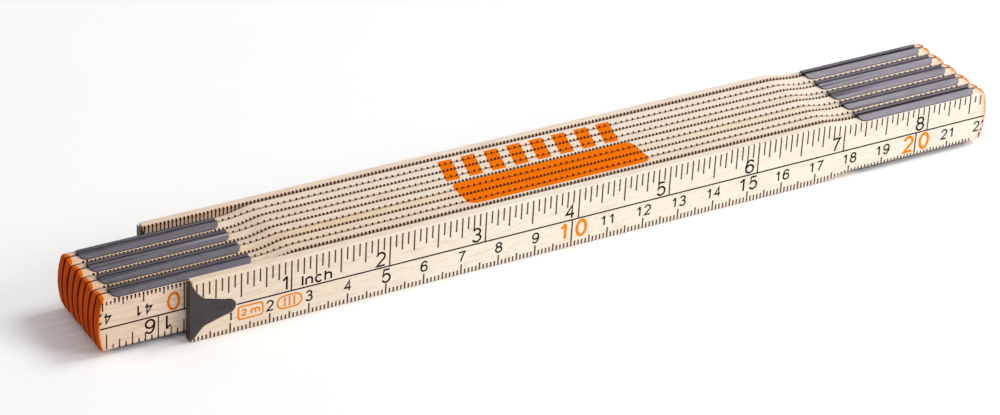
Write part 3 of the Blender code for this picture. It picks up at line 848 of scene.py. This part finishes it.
def clip(outline, y_limit, keep_above):
    """The part of a convex outline on one side of a line of constant y."""
    kept = []
    for index, (x, y) in enumerate(outline):
        before_x, before_y = outline[index - 1]
        inside = (y >= y_limit) == keep_above
        before_inside = (before_y >= y_limit) == keep_above
        if inside != before_inside:
            share = (y_limit - before_y) / (y - before_y)
            kept.append((before_x + share * (x - before_x), y_limit))
        if inside:
            kept.append((x, y))
    return kept


def make_motif(leaf, material):
    """The part of the motif that falls on one leaf's upper edge, laid over its roundings.

    It runs a little way down the front face too, where ink gets between the leaves.
    """
    low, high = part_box(leaf_name(leaf))
    # Each step over the edge: y in the motif, y and z on the leaf, and the outward direction
    crest = [(low.y - MOTIF_RUN, low.y, high.z - EDGE_ROUND - MOTIF_RUN, (0, -1, 0)),
             (low.y, low.y, high.z - EDGE_ROUND, (0, -2, 1)),
             (low.y + EDGE_CREST, low.y + EDGE_CREST, high.z - EDGE_CREST, (0, -1, 1)),
             (low.y + EDGE_ROUND, low.y + EDGE_ROUND, high.z, (0, 0, 1)),
             (high.y - EDGE_ROUND, high.y - EDGE_ROUND, high.z, (0, 0, 1)),
             (high.y - EDGE_CREST, high.y - EDGE_CREST, high.z - EDGE_CREST, (0, 1, 1))]
    work = bmesh.new()
    for outline in motif_shapes():
        for start, end in zip(crest, crest[1:]):
            piece = clip(clip(outline, start[0], True), end[0], False)
            if len(piece) < 3:
                continue
            upper = []
            lower = []
            for x, y in piece:
                share = (y - start[0]) / (end[0] - start[0])
                place = Vector((x, *start[1:3])).lerp(Vector((x, *end[1:3])), share)
                outward = Vector(start[3]).normalized().lerp(Vector(end[3]).normalized(), share)
                upper.append(work.verts.new(place + outward * MOTIF_LIFT))
                lower.append(work.verts.new(place - outward * INK_SINK))
            work.faces.new(upper)
            work.faces.new(list(reversed(lower)))
            for index in range(len(upper)):
                work.faces.new((upper[index - 1], lower[index - 1], lower[index], upper[index]))
    if work.faces:
        bmesh.ops.recalc_face_normals(work, faces=work.faces)
        mesh = bpy.data.meshes.new("motif")
        work.to_mesh(mesh)
        mesh.materials.append(material)
        made = bpy.data.objects.new(f"{leaf_name(leaf)}_edge_motif", mesh)
        bpy.context.scene.collection.objects.link(made)
        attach(made, leaf_body(leaf))
    work.free()


# Set, light and camera

FLOOR_REACH = 6.0
WORLD_STRENGTH = 0.45
SENSOR = 36
LENS = 127.19
CAMERA_FROM_ZERO_END = Vector((-287.8, -609.0, 437.6)) * MM
CAMERA_TURN = (59.30, -2.83, -29.43)


def make_floor():
    """A plain pale floor under the rule."""
    mesh = bpy.data.meshes.new("floor")
    corners = [(-FLOOR_REACH, -FLOOR_REACH, 0), (FLOOR_REACH, -FLOOR_REACH, 0),
               (FLOOR_REACH, FLOOR_REACH, 0), (-FLOOR_REACH, FLOOR_REACH, 0)]
    mesh.from_pydata(corners, [], [(0, 1, 2, 3)])
    graph = Graph("pale_floor")
    tone = graph.noise(graph.millimetres(scale=(0.02, 0.02, 0.02)), detail=2)
    graph.shade(Base_Color=graph.mix(tone, rgb(250, 250, 250), rgb(253, 253, 253)), Roughness=0.7)
    graph.shader.inputs["Specular IOR Level"].default_value = 0.2
    mesh.materials.append(graph.material)
    floor = bpy.data.objects.new("floor", mesh)
    bpy.context.scene.collection.objects.link(floor)


def add_area_light(name, place, target, size, power):
    """A round white light at a place, facing a target."""
    light = bpy.data.lights.new(name, "AREA")
    light.shape = "DISK"
    light.size = size
    light.energy = power
    lamp = bpy.data.objects.new(name, light)
    lamp.location = place
    lamp.rotation_euler = (Vector(place) - Vector(target)).to_track_quat("Z", "Y").to_euler()
    bpy.context.scene.collection.objects.link(lamp)


def make_light():
    """A pale studio: even light all round, and three soft lights from the right and the front."""
    world = bpy.data.worlds.new("studio")
    bpy.context.scene.world = world
    world.use_nodes = True
    background = world.node_tree.nodes["Background"]
    background.inputs["Color"].default_value = (1, 1, 1, 1)
    background.inputs["Strength"].default_value = WORLD_STRENGTH
    add_area_light("upper_right", place=(1.15, -0.1, 1.45), target=(0, 0, 0), size=0.8, power=18.0)
    add_area_light("key", place=(0.85, -0.8, 0.6), target=(0.05, 0, 0), size=0.6, power=7.0)
    add_area_light("fill", place=(-0.5, -1.2, 1.5), target=(0, 0, 0), size=1.2, power=2.5)
    bpy.context.scene.view_settings.view_transform = "Standard"


def make_camera():
    """The camera, placed from the rule's zero point at the foot of the first leaf's front face."""
    camera = bpy.data.cameras.new("camera")
    camera.sensor_width = SENSOR
    camera.lens = LENS
    camera.clip_start = 0.05
    holder = bpy.data.objects.new("camera", camera)
    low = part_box("leaf_01")[0]
    holder.location = Vector((LEFT_PIVOT_X, low.y, 0)) + CAMERA_FROM_ZERO_END
    holder.rotation_euler = [math.radians(angle) for angle in CAMERA_TURN]
    bpy.context.scene.collection.objects.link(holder)
    bpy.context.scene.camera = holder


dress_cad_nodes()
print_leaves()
motif_ink = ink_material("motif_ink", rgb(236, 110, 0), rgb(242, 124, 4))
for leaf_number in range(1, LEAF_COUNT + 1):
    make_motif(leaf_number, motif_ink)
make_floor()
make_light()
make_camera()
